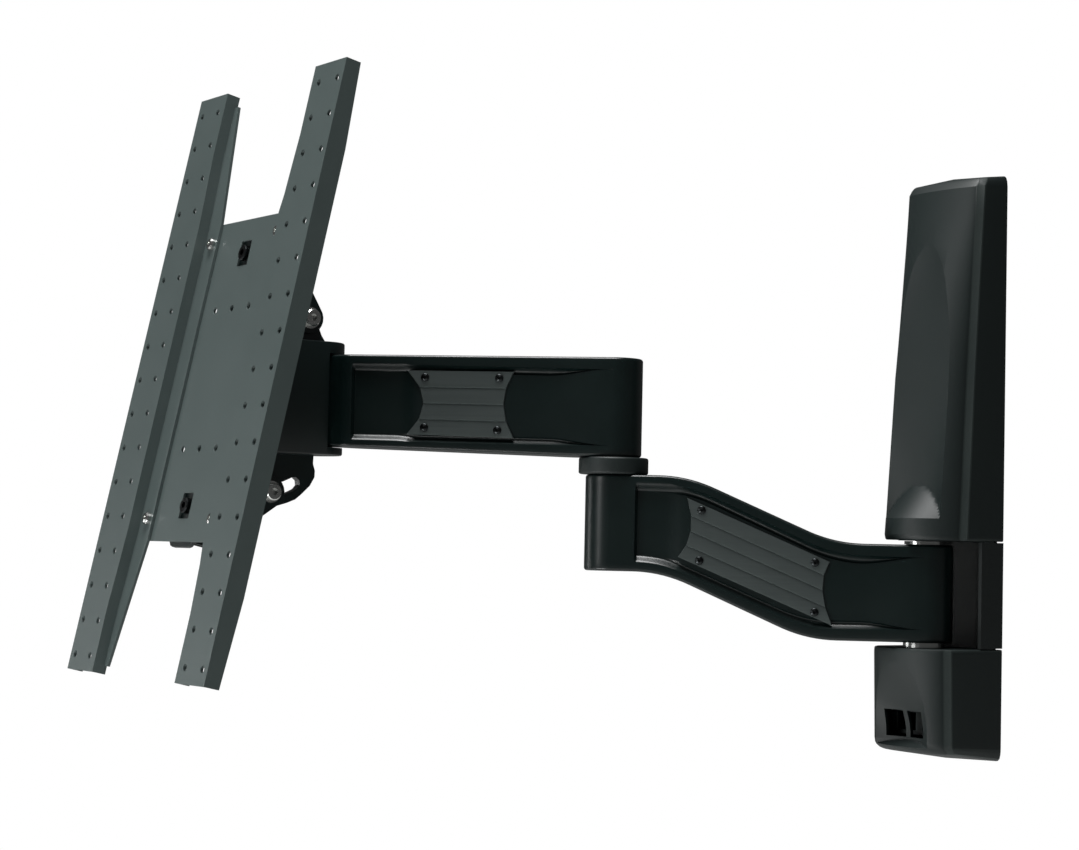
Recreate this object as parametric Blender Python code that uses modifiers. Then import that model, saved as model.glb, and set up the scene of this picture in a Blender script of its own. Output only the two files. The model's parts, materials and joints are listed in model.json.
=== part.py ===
"""Full motion television wall mount: wall unit, two swivel arms, tilting head and screen plate.

Z is up, the wall is the plane Y = 0 and the room is on the -Y side.
Lengths below are in millimetres and are turned into metres when meshes are made.
"""
import math

import bmesh
import bpy
from mathutils import Matrix, Vector

MM = 0.001

# arms
ARM_LENGTH = 213.0
ARM_HALF = 19.0
LOWER_ANGLE = -40.6
UPPER_ANGLE = -43.0
WALL_BARREL = (-119.3, -53.8)
ELBOW_BARREL = (-76.0, -10.2)
UPPER_BARREL = (1.95, 69.9)
POCKET_DEPTH = 2.4
INLAY_RISE = 0.6

# wall unit
PIVOT_OUT = 36.8
WALL_HALF = 37.0
WALL_TOP = 198.0
PLATE_GAUGE = 3.0
CHANNEL_DEPTH = 20.0
COVER_WALL = 2.5

# head and tilt
CLEVIS_HALF = 20.5
CLEVIS_HEIGHT = 79.2
CLEVIS_FRONT = -56.0
LIP_LOW = 5.4
UPPER_LIP = 8.2
LIP_HIGH = CLEVIS_HEIGHT - UPPER_LIP
HEAD_END = (LIP_LOW + 1.6, LIP_HIGH - 0.9)
TILT_CENTRE = (-46.7, CLEVIS_HEIGHT / 2 + 0.4)
TILT_RADIUS = 67.5
TILT_HALF_ANGLE = 68.4
TILT_REST = 12.5
TILT_TRAVEL = 18.0
TONGUE_HALF = 3.5
BOLT_RADIUS = 4.0

# screen plate, in the tilting frame whose origin is the tilt axis
FRONT = -42.4
RISE = 3.2
RAIL_LENGTH = 424.0
RAIL_SHIFT = 1.2
HOLE_PITCH = 25.0
HOLE_ROWS = 17
HOLE_RADIUS = 2.6
SHEET = 2.0


def clear_scene():
    for thing in list(bpy.data.objects):
        bpy.data.objects.remove(thing, do_unlink=True)


def collection(name):
    made = bpy.data.collections.new(name)
    bpy.context.scene.collection.children.link(made)
    return made


clear_scene()
PARTS = collection("tv_wall_mount")
CUTTERS = collection("cutters")


def material(name, colour, roughness, metallic):
    made = bpy.data.materials.new(name)
    made.use_nodes = True
    shader = made.node_tree.nodes["Principled BSDF"]
    shader.inputs["Base Color"].default_value = (*colour, 1.0)
    shader.inputs["Roughness"].default_value = roughness
    shader.inputs["Metallic"].default_value = metallic
    return made


def frame(origin, turn=0.0, lean=0.0):
    shift = Matrix.Translation(Vector(origin) * MM)
    spin = Matrix.Rotation(math.radians(turn), 4, "Z")
    return shift @ spin @ Matrix.Rotation(math.radians(lean), 4, "X")


def heading(angle):
    return Vector((math.sin(math.radians(angle)), -math.cos(math.radians(angle)), 0.0))


WALL_AXIS = Vector((0.0, -PIVOT_OUT, 0.0))
ELBOW_AXIS = WALL_AXIS + heading(LOWER_ANGLE) * ARM_LENGTH
HEAD_AXIS = ELBOW_AXIS + heading(UPPER_ANGLE) * ARM_LENGTH
TILT_AXIS = HEAD_AXIS + Vector((0.0, *TILT_CENTRE))

WALL = frame((0.0, 0.0, 0.0))
PIVOT = frame(WALL_AXIS)
LOWER = frame(WALL_AXIS, LOWER_ANGLE - 90.0)
UPPER = frame(ELBOW_AXIS, UPPER_ANGLE - 90.0)
HEAD = frame(HEAD_AXIS)
TILT = frame(TILT_AXIS, 0.0, -TILT_REST)


def add(name, bm, place, cutter=False, look=None):
    """Turn a bmesh drawn in millimetres into a named object standing in its own frame."""
    bmesh.ops.scale(bm, vec=(MM, MM, MM), verts=bm.verts)
    bmesh.ops.recalc_face_normals(bm, faces=bm.faces)
    mesh = bpy.data.meshes.new(name)
    bm.to_mesh(mesh)
    bm.free()
    thing = bpy.data.objects.new(name, mesh)
    thing.matrix_world = place
    (CUTTERS if cutter else PARTS).objects.link(thing)
    if cutter:
        thing.hide_render = True
        thing.display_type = "WIRE"
    else:
        mesh.materials.append(material(name, *look))
    return thing


AXES = {"X": ((0, 1, 0), (0, 0, 1), (1, 0, 0)),
        "Y": ((1, 0, 0), (0, 0, 1), (0, 1, 0)),
        "Z": ((1, 0, 0), (0, 1, 0), (0, 0, 1))}


def slab(outline, axis, low, high):
    """Extrude a flat outline along one axis."""
    across, along, out = (Vector(v) for v in AXES[axis])
    bm = bmesh.new()
    ring = [bm.verts.new(across * a + along * b + out * low) for a, b in outline]
    face = bm.faces.new(ring)
    grown = bmesh.ops.extrude_face_region(bm, geom=[face])
    moved = [v for v in grown["geom"] if isinstance(v, bmesh.types.BMVert)]
    bmesh.ops.translate(bm, vec=out * (high - low), verts=moved)
    return bm


def lathe(profile, segments=32):
    """Turn a closed (radius, height) profile about Z."""
    bm = bmesh.new()
    ring = [bm.verts.new((r, 0.0, z)) for r, z in profile]
    edges = [bm.edges.new((ring[i], ring[(i + 1) % len(ring)])) for i in range(len(ring))]
    bmesh.ops.spin(bm, geom=ring + edges, cent=(0, 0, 0), axis=(0, 0, 1),
                   angle=math.tau, steps=segments, use_duplicate=False)
    bmesh.ops.remove_doubles(bm, verts=bm.verts, dist=0.001)
    bmesh.ops.dissolve_degenerate(bm, edges=bm.edges, dist=0.0001)
    loose = [e for e in bm.edges if not e.link_faces]
    bmesh.ops.delete(bm, geom=loose, context="EDGES")
    return bm


def drum(radius, low, high, at=(0.0, 0.0), axis="Z", segments=32):
    """A plain cylinder along an axis; at gives the other two coordinates."""
    across, along, out = (Vector(v) for v in AXES[axis])
    bm = bmesh.new()
    stand = Matrix((across, along, out)).transposed().to_4x4()
    stand.translation = across * at[0] + along * at[1] + out * (low + high) / 2
    bmesh.ops.create_cone(bm, cap_ends=True, segments=segments, radius1=radius, radius2=radius,
                          depth=high - low, matrix=stand)
    return bm


def merge(*meshes):
    """Put several separate bodies into one bmesh, for cutters."""
    total = bmesh.new()
    for bm in meshes:
        scratch = bpy.data.meshes.new("scratch")
        bm.to_mesh(scratch)
        bm.free()
        total.from_mesh(scratch)
        bpy.data.meshes.remove(scratch)
    return total


def combine(target, other, operation="DIFFERENCE"):
    step = target.modifiers.new(other.name, "BOOLEAN")
    step.operation = operation
    step.solver = "EXACT"
    step.object = other


def cut(target, name, bm, place):
    combine(target, add(name, bm, place, cutter=True))


def weld_on(target, name, bm, place):
    combine(target, add(name, bm, place, cutter=True), "UNION")


def soften(target, width, segments=2, angle=40.0):
    step = target.modifiers.new("edge", "BEVEL")
    step.width = width * MM
    step.segments = segments
    step.limit_method = "ANGLE"
    step.angle_limit = math.radians(angle)
    step.use_clamp_overlap = True


def arc(centre, radius, start, stop, count):
    turn = math.radians(stop - start)
    base = math.radians(start)
    return [(centre[0] + radius * math.cos(base + turn * i / (count - 1)),
             centre[1] + radius * math.sin(base + turn * i / (count - 1))) for i in range(count)]


def rounded(points, radius, count=5):
    """Round the corners of an outline with short arcs drawn as quadratic curves."""
    done = []
    total = len(points)
    for i in range(total):
        here = Vector(points[i])
        back = (Vector(points[i - 1]) - here)
        ahead = (Vector(points[(i + 1) % total]) - here)
        reach = min(radius, back.length * 0.45, ahead.length * 0.45)
        a = here + back.normalized() * reach
        b = here + ahead.normalized() * reach
        for k in range(count):
            t = k / (count - 1)
            done.append(tuple(a * (1 - t) ** 2 + here * 2 * t * (1 - t) + b * t * t))
    return done


BLACK = ((0.012, 0.02, 0.02), 0.42, 0.3)
PLASTIC = ((0.014, 0.022, 0.022), 0.45, 0.0)
GREY = ((0.09, 0.115, 0.11), 0.4, 0.5)
INLAY = ((0.05, 0.06, 0.06), 0.35, 0.8)
ZINC = ((0.6, 0.6, 0.58), 0.25, 1.0)
STEEL = ((0.02, 0.025, 0.025), 0.4, 0.9)


# ---------------------------------------------------------------- wall unit
def wall_plate():
    tall = WALL_TOP - 9.0
    plate = add("wall_plate", slab(rounded([(-31, -tall), (31, -tall), (31, tall), (-31, tall)], 4, 3),
                                   "Y", -PLATE_GAUGE, 0.0), WALL, look=STEEL)
    w, d, g = WALL_HALF, -CHANNEL_DEPTH, PLATE_GAUGE
    channel = [(-w, 0), (-w, d), (-w + g, d), (-w + g, -g), (w - g, -g), (w - g, d), (w, d), (w, 0)]
    weld_on(plate, "wall_channel", slab(channel, "Z", -122.4, -51.4), WALL)
    holes = [drum(4.3, -8, 4, (x, z), "Y", 20) for x in (-17, 17) for z in (165, 40, -165)]
    slots = [slab(rounded([(x - 8, z - 4.2), (x + 8, z - 4.2), (x + 8, z + 4.2), (x - 8, z + 4.2)], 4, 4),
                  "Y", -8, 4) for x, z in ((0, 120), (0, 12))]
    cut(plate, "wall_holes", merge(*holes, *slots), WALL)


def lug(name, low, high, web):
    nose = arc((0, -PIVOT_OUT), 18.0, 180, 360, 17)
    body = add(name, slab([(18, -3.2), (-18, -3.2)] + nose, "Z", low, high), WALL, look=STEEL)
    weld_on(body, name + "_web", slab([(-18, web[0]), (18, web[0]), (18, web[1]), (-18, web[1])],
                                      "Y", -9.2, -3.2), WALL)
    cut(body, name + "_bore", drum(7.3, low - 40, high + 40, (0, -PIVOT_OUT)), WALL)


def wall_pivot():
    lug("lug_upper", -51.0, -44.6, (-46.0, -16.0))
    lug("lug_lower", -132.0, -123.1, (-154.0, -128.0))
    add("wall_pin", lathe([(0, -137), (6.4, -137), (7, -136), (7, -44.3), (10, -44.3), (10, -41.3),
                           (9, -40.4), (0, -40.4)]), PIVOT, look=STEEL)
    for name, low, high in (("wall_washer_upper", -53.5, -51.3), ("wall_washer_lower", -122.8, -119.6)):
        add(name, lathe([(7.4, low), (14, low), (14, high), (7.4, high)]), PIVOT, look=STEEL)
    nut = add("wall_nut", drum(9.9, -138.4, -132.4, segments=6), PIVOT, look=ZINC)
    cut(nut, "wall_nut_bore", drum(7.2, -145, -125), PIVOT)


def cover_section(side, middle, inset):
    """Half section of a cover at one height: flat side, chamfer, then a bulging front."""
    half = WALL_HALF - inset
    edge = half - 3.7
    front = [(edge, -(side + 3.7 - inset))]
    for k in range(1, 8):
        x = edge * (1 - k / 8)
        rise = (1 - (x / edge) ** 2) ** 0.7
        front.append((x, -(side + 3.7 + (middle - side - 3.7) * rise - inset)))
    right = [(half, -side + inset * 0.4)] + front
    back = 8.0 if inset else -0.3
    ring = [(half, back)] + right + [(0.0, -(middle - inset))]
    return ring + [(-x, y) for x, y in reversed(ring[:-1])]


def loft(stations, inset):
    """Skin of a cover through its (height, side depth, middle depth, drop) stations."""
    bm = bmesh.new()
    rings = []
    for height, side, middle, drop in stations:
        ring = []
        for x, y in cover_section(side, middle, inset):
            fall = drop * min(1.0, max(0.0, -y) / 40.0)
            ring.append(bm.verts.new((x, y, height - fall)))
        rings.append(ring)
    count = len(rings[0])
    for low, high in zip(rings, rings[1:]):
        for i in range(count):
            bm.faces.new((low[i], low[(i + 1) % count], high[(i + 1) % count], high[i]))
    caps = [bm.faces.new(rings[0]), bm.faces.new(rings[-1])]
    bmesh.ops.triangulate(bm, faces=caps)
    return bm


def scoop(half, low, high, floor, grow):
    """Thumb-shaped cutter that flattens the front of a cover back to one upright plane."""
    rise = high - low
    side = []
    for k in range(13):
        t = math.sin(math.pi / 2 * k / 12)
        side.append(((half + grow) * math.sqrt(max(0.0, 1 - t ** 2.4)), low - grow + (rise + 2 * grow) * t))
    outline = side + [(-x, z) for x, z in reversed(side[:-1])]
    return slab(outline, "Y", -120.0, floor + grow)


def shell(name, stations, inner, dent):
    cover = add(name, loft(stations, 0.0), WALL, look=PLASTIC)
    cut(cover, name + "_scoop", scoop(*dent, 0.0), WALL)
    core = add(name + "_core", loft(inner, COVER_WALL), WALL, cutter=True)
    cut(core, name + "_core_scoop", scoop(*dent, COVER_WALL), WALL)
    combine(cover, core)
    return cover


UPPER_STATIONS = [(-50.6, 33.4, 60.5, 0.0), (-47.0, 33.2, 62.0, 0.0), (60.0, 28.5, 52.0, 0.0),
                  (130.0, 24.6, 41.0, 0.0), (190.0, 21.0, 30.0, 2.0), (WALL_TOP, 18.0, 25.0, 5.0)]
LOWER_STATIONS = [(-WALL_TOP, 42.0, 55.0, -5.0), (-192.0, 44.5, 61.0, -3.0), (-185.0, 45.0, 62.5, 0.0),
                  (-127.0, 46.5, 64.0, 0.0), (-123.2, 46.5, 63.5, 0.0)]


def covers():
    inner = [(-48.0, 33.2, 61.5, 0.0), (60.0, 28.5, 52.0, 0.0), (130.0, 24.6, 41.0, 0.0),
             (WALL_TOP - 7.5, 20.5, 29.0, 0.0)]
    upper = shell("upper_cover", UPPER_STATIONS, inner, (26.5, -36.0, 150.0, -41.0))
    notch = [(18.6, -3.6), (32, -3.6), (32, 4), (-32, 4), (-32, -3.6), (-18.6, -3.6)]
    notch += arc((0, -PIVOT_OUT), 18.6, 180, 360, 17)
    cut(upper, "upper_cover_notch", slab(notch, "Z", -60, -44.0), WALL)
    inner = [(-WALL_TOP + 6.0, 43.5, 59.5, 0.0), (-185.0, 45.0, 62.5, 0.0), (-125.7, 46.5, 64.0, 0.0)]
    lower = shell("lower_cover", LOWER_STATIONS, inner, (25.0, -187.0, -132.0, -49.6))
    cut(lower, "lower_cover_notch", slab(notch, "Z", -133, -110), WALL)
    window = [slab([(x - 8, -183), (x + 8, -183), (x + 8, -165), (x - 8, -165)], "Y", -60, -44)
              for x in (-10, 10)]
    cut(lower, "cable_windows", merge(*window), WALL)


def cable_guide():
    guide = add("cable_guide", slab([(-26, -182), (26, -182), (26, -164), (-26, -164)], "Y", -40.5, -38.0),
                WALL, look=PLASTIC)
    openings = [slab([(x - 9, -179), (x + 9, -179), (x + 9, -167), (x - 9, -167)], "Y", -50, -37)
                for x in (-12, 12)]
    cut(guide, "cable_guide_openings", merge(*openings), WALL)
    weld_on(guide, "cable_guide_post", slab([(-1.5, -182), (1.5, -182), (1.5, -164), (-1.5, -164)],
                                            "Y", -38.5, -3.4), WALL)


# ---------------------------------------------------------------- arms
def holes_at(spots, radius, low, high, segments=12):
    return merge(*[drum(radius, low, high, spot, "Y", segments) for spot in spots])


def inlay_mesh(corners):
    """Four stepped ribs running along the arm; the ends are hollowed afterwards."""
    low_left, low_right, top_right, top_left = (Vector(c) for c in corners)
    floor = ARM_HALF - POCKET_DEPTH + 0.05
    bands = 4
    bm = bmesh.new()
    ends = []
    for t in (0.0, 1.0):
        foot = low_left.lerp(low_right, t)
        head = top_left.lerp(top_right, t)
        ring = [bm.verts.new((foot.x, floor, foot.y))]
        for k in range(bands):
            a = foot.lerp(head, k / bands)
            b = foot.lerp(head, (k + 1) / bands)
            ring.append(bm.verts.new((a.x, floor + 1.3 + INLAY_RISE, a.y)))
            ring.append(bm.verts.new((b.x, floor + 1.3, b.y)))
        ring.append(bm.verts.new((head.x, floor, head.y)))
        ends.append(ring)
    count = len(ends[0])
    for i in range(count):
        bm.faces.new((ends[0][i], ends[0][(i + 1) % count], ends[1][(i + 1) % count], ends[1][i]))
    bm.faces.new(ends[0])
    bm.faces.new(ends[1])
    return bm


def end_bite(a, b, sag, side):
    """A cylinder that hollows one end of an inlay between corners a and b."""
    a, b = Vector(a), Vector(b)
    chord = (b - a).length
    radius = (chord * chord / 4 + sag * sag) / (2 * sag)
    inward = Vector(((b - a).y, -(b - a).x)).normalized() * side
    centre = (a + b) / 2 - inward * (radius - sag)
    return drum(radius, 0.0, 40.0, tuple(centre), "Y", 96)


def arm_side(prefix, place, arm, pocket, corners, sags, screws):
    """Cut the two side pockets and fit their inlays and screws, mirrored on the far side."""
    for word, sign in (("near", 1), ("far", -1)):
        tool = slab(pocket, "Y", ARM_HALF - POCKET_DEPTH, ARM_HALF + 6)
        drill = holes_at(screws, 1.7, ARM_HALF - 10, ARM_HALF)
        inlay = inlay_mesh(corners)
        bites = merge(end_bite(corners[0], corners[3], sags[0], 1), end_bite(corners[1], corners[2], sags[1], -1))
        pierce = holes_at(screws, 1.7, ARM_HALF - 8, ARM_HALF + 4)
        heads = [screw_mesh(spot) for spot in screws]
        for bm in (tool, drill, inlay, bites, pierce, *heads):
            bmesh.ops.scale(bm, vec=(1, sign, 1), verts=bm.verts)
        cut(arm, f"{prefix}_pocket_{word}", tool, place)
        cut(arm, f"{prefix}_drill_{word}", drill, place)
        panel = add(f"{prefix}_inlay_{word}", inlay, place, look=INLAY)
        cut(panel, f"{prefix}_bites_{word}", bites, place)
        cut(panel, f"{prefix}_pierce_{word}", pierce, place)
        for number, head in enumerate(heads, 1):
            add(f"{prefix}_screw_{word}_{number}", head, place, look=STEEL)


def screw_mesh(spot):
    """Button head cap screw with a hexagon socket, lying along Y at an (x, z) spot."""
    top = ARM_HALF - POCKET_DEPTH + 3.6
    seat = ARM_HALF - POCKET_DEPTH + 2.05
    tip = seat - 8.0
    bm = lathe([(0, tip), (1.45, tip), (1.45, seat), (2.9, seat), (2.9, seat + 0.7), (1.9, top),
                (1.3, top), (1.3, top - 0.9), (0, top - 0.9)], 12)
    bmesh.ops.rotate(bm, cent=(0, 0, 0), matrix=Matrix.Rotation(-math.pi / 2, 3, "X"), verts=bm.verts)
    bmesh.ops.translate(bm, vec=(spot[0], 0, spot[1]), verts=bm.verts)
    return bm


def lower_arm():
    wl, wh = WALL_BARREL
    el, eh = ELBOW_BARREL
    end = ARM_LENGTH + ARM_HALF + 1
    bend_count = 6
    side = [(-ARM_HALF - 1, wl), (79, wl), (177.5, el), (end, el), (end, eh), (161, eh), (61, wh),
            (-ARM_HALF - 1, wh)]
    curved = rounded(side, 26, bend_count)
    bent = []
    for i, point in enumerate(side):
        bends = i in (1, 2, 5, 6)
        bent += curved[i * bend_count:(i + 1) * bend_count] if bends else [point]
    arm = add("lower_arm", slab(bent, "Y", -ARM_HALF - 2, ARM_HALF + 2), LOWER, look=BLACK)
    plan = arc((ARM_LENGTH, 0), ARM_HALF, -90, 90, 17) + arc((0, 0), ARM_HALF, 90, 270, 17)
    combine(arm, add("lower_plan", slab(plan, "Z", -140, 10), LOWER, cutter=True), "INTERSECT")
    soften(arm, 2.2, 2, 50)
    pocket = [(22, -112.0), (80, -112.0), (176, -69.5), (195, -69.5), (195, -17.0), (163, -17.0),
              (62, -61.0), (22, -61.0)]
    corners = [(62.0, -109.3), (166.6, -65.4), (161.0, -25.2), (64.0, -66.6)]
    screws = [(74.0, -100.6), (152.0, -67.6), (151.0, -33.4), (74.0, -67.2)]
    arm_side("lower", LOWER, arm, rounded(pocket, 8, 4), corners, (6.0, 6.0), screws)
    cut(arm, "lower_bore_wall", drum(7.3, wl - 5, wh + 5), LOWER)
    elbow_bore = lathe([(0, el - 5), (13.2, el - 5), (13.2, el + 4), (8.3, el + 4), (8.3, eh + 5), (0, eh + 5)])
    bmesh.ops.translate(elbow_bore, vec=(ARM_LENGTH, 0, 0), verts=elbow_bore.verts)
    cut(arm, "lower_bore_elbow", elbow_bore, LOWER)


def elbow():
    el, eh = ELBOW_BARREL
    ul, uh = UPPER_BARREL
    add("elbow_collar", lathe([(8.4, eh + 0.3), (23.2, eh + 0.3), (24, eh + 1.1), (24, ul - 1.1),
                               (23.2, ul - 0.3), (8.4, ul - 0.3)], 48), UPPER, look=PLASTIC)
    add("elbow_pin", lathe([(0, el + 0.6), (12.0, el + 0.6), (12.8, el + 1.4), (12.8, el + 3.8),
                            (8.0, el + 3.8), (8.0, uh - 4.6), (0, uh - 4.6)]), UPPER, look=STEEL)
    cap = add("elbow_cap", lathe([(0, uh - 4.2), (12.8, uh - 4.2), (12.8, uh - 0.4), (12, uh + 0.2),
                                  (0, uh + 0.2)]), UPPER, look=PLASTIC)
    cut(cap, "elbow_cap_socket", drum(4.0, uh - 2.4, uh + 3, segments=6), UPPER)


def upper_arm():
    ul, uh = UPPER_BARREL
    hl, hh = HEAD_END
    reach = ARM_LENGTH + 16
    side = [(-ARM_HALF - 1, ul), (30, ul), (reach, hl), (reach, hh), (-ARM_HALF - 1, uh)]
    arm = add("upper_arm", slab(side, "Y", -ARM_HALF - 2, ARM_HALF + 2), UPPER, look=BLACK)
    neck = 12.0
    shoulder = [(184, ARM_HALF), (188, ARM_HALF - 0.8), (192, ARM_HALF - 3.0), (196, neck + 1.2),
                (200, neck)]
    tip = arc((ARM_LENGTH, 0), 14.5, -118, 118, 17)
    plan = [(x, -y) for x, y in shoulder] + tip + list(reversed(shoulder))
    plan += arc((0, 0), ARM_HALF, 90, 270, 17)
    combine(arm, add("upper_plan", slab(plan, "Z", -10, 90), UPPER, cutter=True), "INTERSECT")
    soften(arm, 2.2, 2, 50)
    pocket = [(20, 9.8), (182, 12.6), (182, 63.4), (20, 62.6)]
    corners = [(67.4, 13.4), (142.6, 15.0), (142.9, 59.2), (67.7, 59.2)]
    screws = [(78.7, 18.6), (130.0, 19.9), (130.1, 54.6), (78.1, 54.6)]
    arm_side("upper", UPPER, arm, rounded(pocket, 8, 4), corners, (7.0, 11.5), screws)
    cut(arm, "upper_bore_elbow", lathe([(0, ul - 5), (8.3, ul - 5), (8.3, uh - 4.4), (13.2, uh - 4.4),
                                        (13.2, uh + 5), (0, uh + 5)]), UPPER)
    cut(arm, "upper_bore_head", drum(7.3, hl - 5, hh + 5, (ARM_LENGTH, 0)), UPPER)


# ---------------------------------------------------------------- head
def swing(radius, angle):
    """Point of the head's own Y-Z plane at an angle about the tilt axis."""
    t = math.radians(angle)
    return (TILT_CENTRE[0] + radius * math.cos(t), TILT_CENTRE[1] + radius * math.sin(t))


def slot_outline(sign):
    """Curved slot that guides one tilt bolt; sign is +1 above and -1 below."""
    start = TILT_HALF_ANGLE - TILT_REST * sign
    stop = start + TILT_TRAVEL * sign
    low, high = sorted((start, stop))
    wide = BOLT_RADIUS + 0.4
    spread = math.degrees(wide / TILT_RADIUS) * 0.75
    outer = [swing(TILT_RADIUS + wide, sign * (low + (high - low) * k / 6)) for k in range(7)]
    inner = [swing(TILT_RADIUS - wide, sign * (high - (high - low) * k / 6)) for k in range(7)]
    round_high = [swing(TILT_RADIUS + wide * d, sign * (high + spread * s))
                  for d, s in ((0.72, 0.95), (0.0, 1.33), (-0.72, 0.95))]
    round_low = [swing(TILT_RADIUS - wide * d, sign * (low - spread * s))
                 for d, s in ((0.72, 0.95), (0.0, 1.33), (-0.72, 0.95))]
    return outer + round_high + inner + round_low


def head_clevis():
    half, top = CLEVIS_HALF, CLEVIS_HEIGHT
    plan = arc((0, 0), half, 0, 180, 25) + [(-half, CLEVIS_FRONT), (half, CLEVIS_FRONT)]
    head = add("head_clevis", slab(plan, "Z", 0.0, top), HEAD, look=BLACK)
    soften(head, 1.2, 2, 50)
    gap = arc((0, 0), 15.6, 198, 342, 15) + [(21.5, 1.2), (26, 2), (26, 30), (-26, 30), (-26, 2),
                                             (-21.5, 1.2)]
    cut(head, "head_gap", slab(gap, "Z", LIP_LOW, LIP_HIGH), HEAD)
    mid = TILT_CENTRE[1]
    root = LIP_LOW - 0.9
    low = [(-1.0, root), (-1.4, mid - 46.0), (0.2, mid - 51.0), (0.0, mid - 55.5), (-3.5, mid - 61.5),
           (-10.5, mid - 68.0)]
    low += [swing(78.2, a) for a in (-66, -71, -76, -81, -86)]
    low += [swing(73, -90), swing(64, -91), swing(58, -88), (-53.0, root)]
    high = [(7.5, top - 1.5), (2.6, mid + 44.7), (0.4, mid + 50.0), (-0.2, mid + 56.5), (-3.2, mid + 61.6),
            (-8.5, mid + 64.6)]
    high += [swing(78.2, a) for a in (63, 68, 73, 78)]
    high += [swing(72, 82.5), swing(66, 83), swing(58, 80), (-44.0, top - 1.5)]
    t = TONGUE_HALF
    weld_on(head, "tongue_lower", slab(low, "X", -t, t), HEAD)
    weld_on(head, "tongue_upper", slab(high, "X", -t, t), HEAD)
    cut(head, "head_bore", drum(7.3, 1.9, top - 2.8), HEAD)
    cut(head, "tilt_slots", merge(slab(slot_outline(1), "X", -9, 9), slab(slot_outline(-1), "X", -9, 9)), HEAD)


def head_pivot():
    add("head_pin", lathe([(0, 2.3), (6, 2.3), (7, 3.1), (7, CLEVIS_HEIGHT - 3.4), (0, CLEVIS_HEIGHT - 3.4)]),
        HEAD, look=STEEL)
    for name, low, high in (("head_washer_upper", LIP_HIGH - 0.7, LIP_HIGH - 0.2),
                            ("head_washer_lower", LIP_LOW + 0.15, LIP_LOW + 0.65)):
        add(name, lathe([(7.4, low), (13.5, low), (13.5, high), (7.4, high)]), HEAD, look=PLASTIC)


# ---------------------------------------------------------------- screen plate
def depth(back):
    """Y of a plane a distance behind the front of the rails."""
    return FRONT + back


def bolt_point(sign):
    t = math.radians(TILT_HALF_ANGLE)
    return (TILT_RADIUS * math.cos(t), sign * TILT_RADIUS * math.sin(t))


def ear(sign):
    y, z = bolt_point(1)
    edge = arc((y, z), 11.0, -80, 50, 9)
    ring = [(depth(13.0), 44.0), (-22.0, 47.0), (-2.0, 51.0)] + edge + [(-6.0, 111.0), (depth(13.0), 111.0)]
    return [(a, sign * b) for a, b in ring]


def tilt_bracket():
    low, high = -118.5 + RISE, 113.0
    face = rounded([(-15, low), (15, low), (20, low + 8), (20, high), (-20, high), (-20, low + 8)], 4, 3)
    bracket = add("tilt_bracket", slab(face, "Y", depth(12.4), depth(15.4)), TILT, look=BLACK)
    for number, (sign, near) in enumerate(((1, 3.8), (1, -6.8), (-1, 3.8), (-1, -6.8)), 1):
        weld_on(bracket, f"ear_{number}", slab(ear(sign), "X", near, near + 3.0), TILT)
    bolts = [drum(BOLT_RADIUS + 0.3, -20, 20, bolt_point(sign), "X", 20) for sign in (1, -1)]
    studs = [drum(3.3, depth(5), depth(22), (0, z + RISE), "Y", 16) for z in (90, -90)]
    cut(bracket, "bracket_holes", merge(*bolts, *studs), TILT)


def centre_plate():
    low, high = -115 + RISE, 115 + RISE
    plate = add("centre_plate", slab(rounded([(-57, low), (57, low), (57, high), (-57, high)], 3, 3),
                                     "Y", depth(10.2), depth(12.2)), TILT, look=GREY)
    holes = [drum(HOLE_RADIUS, depth(5), depth(18), (x, z + RISE), "Y", 12)
             for x in (-25, 0, 25) for z in (50, -50)]
    fixings = [drum(2.9, depth(5), depth(18), (x, z + RISE), "Y", 12)
               for x in (-50, 50) for z in (100, -100)]
    windows = [slab([(-7.5, z - 9 + RISE), (7.5, z - 9 + RISE), (7.5, z + 9 + RISE), (-7.5, z + 9 + RISE)],
                    "Y", depth(5), depth(18)) for z in (90, -90)]
    cut(plate, "centre_openings", merge(*holes, *fixings, *windows), TILT)


def bowed(side, offset=0.0):
    """Inner edge of a rail: straight at the ends, bowed inward over the middle."""
    half = RAIL_LENGTH / 2 + 2
    marks = ((-half, 65.0), (-165, 65.0), (-135, 62.6), (-110, 61.0), (110, 61.0), (135, 62.6),
             (165, 65.0), (half, 65.0))
    return [(side * (x + offset), z + RISE) for z, x in marks]


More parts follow.
